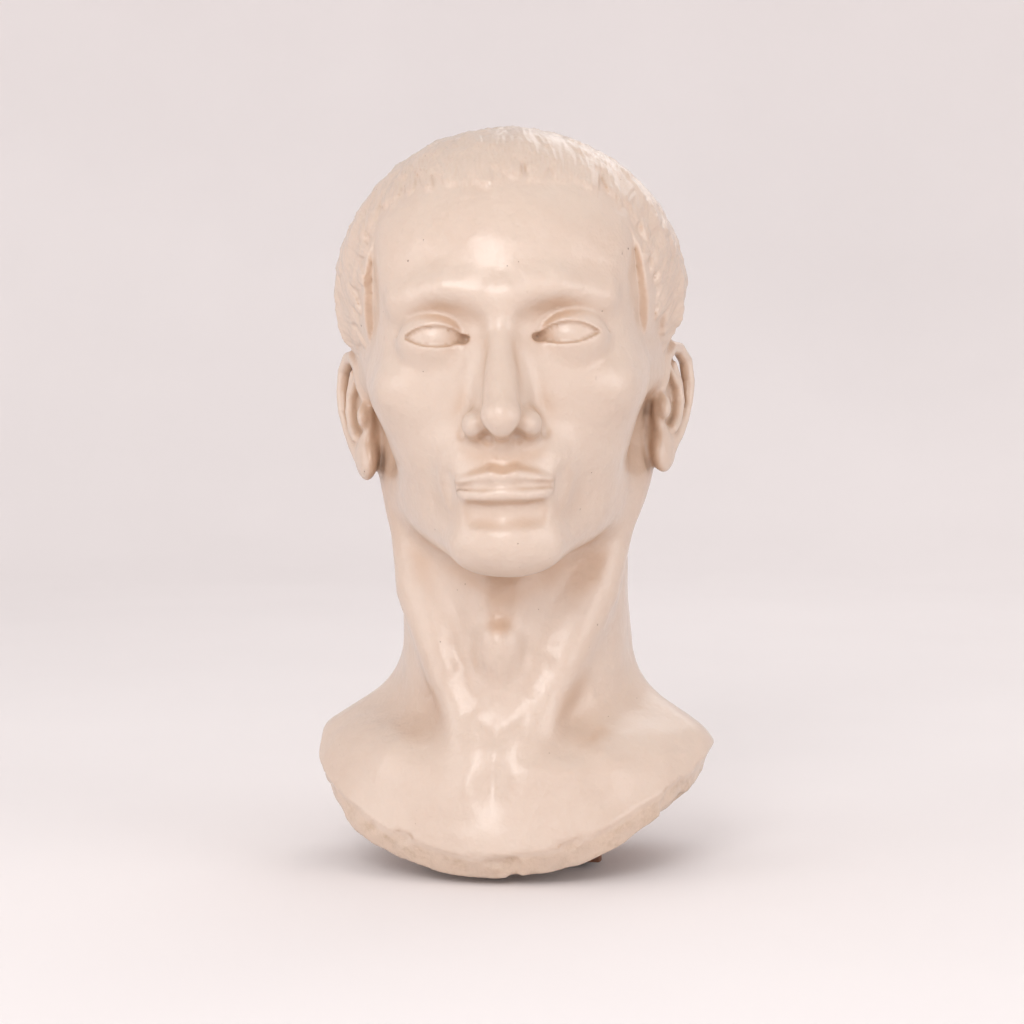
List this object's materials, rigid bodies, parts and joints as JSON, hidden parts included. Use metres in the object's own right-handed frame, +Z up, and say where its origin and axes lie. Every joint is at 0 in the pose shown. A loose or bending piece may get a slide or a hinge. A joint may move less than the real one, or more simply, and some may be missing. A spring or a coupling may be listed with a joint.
{
  "type": "portrait bust",
  "caption": "Life-size stone portrait bust with short hair, bare neck and a hollowed breast, held by a threaded rod to a small hardwood foot on felt pads.",
  "frame": {"origin": "middle of the bottom of the object's box: the table plane under the four felt pads, centred between the shoulders and between nose tip and back of the head", "axes": "+Z up, -Y the way the breast and face look, +X towards the bust's own left shoulder"},
  "size_m": [0.2018, 0.2272, 0.3709],
  "materials": {
    "stone": "gloss",
    "bedding": "matte",
    "foot_wood": "satin",
    "steel": "satin",
    "resin": "satin",
    "felt": "matte"
  },
  "bodies": {
    "root": {"bust_body": "stone", "bedding_layer": "bedding", "foot_block": "foot_wood", "threaded_rod": "steel", "setting_resin": "resin", "washer": "steel", "hex_nut": "steel", "felt_pad_1": "felt", "felt_pad_2": "felt", "felt_pad_3": "felt", "felt_pad_4": "felt"}
  },
  "joints": []
}
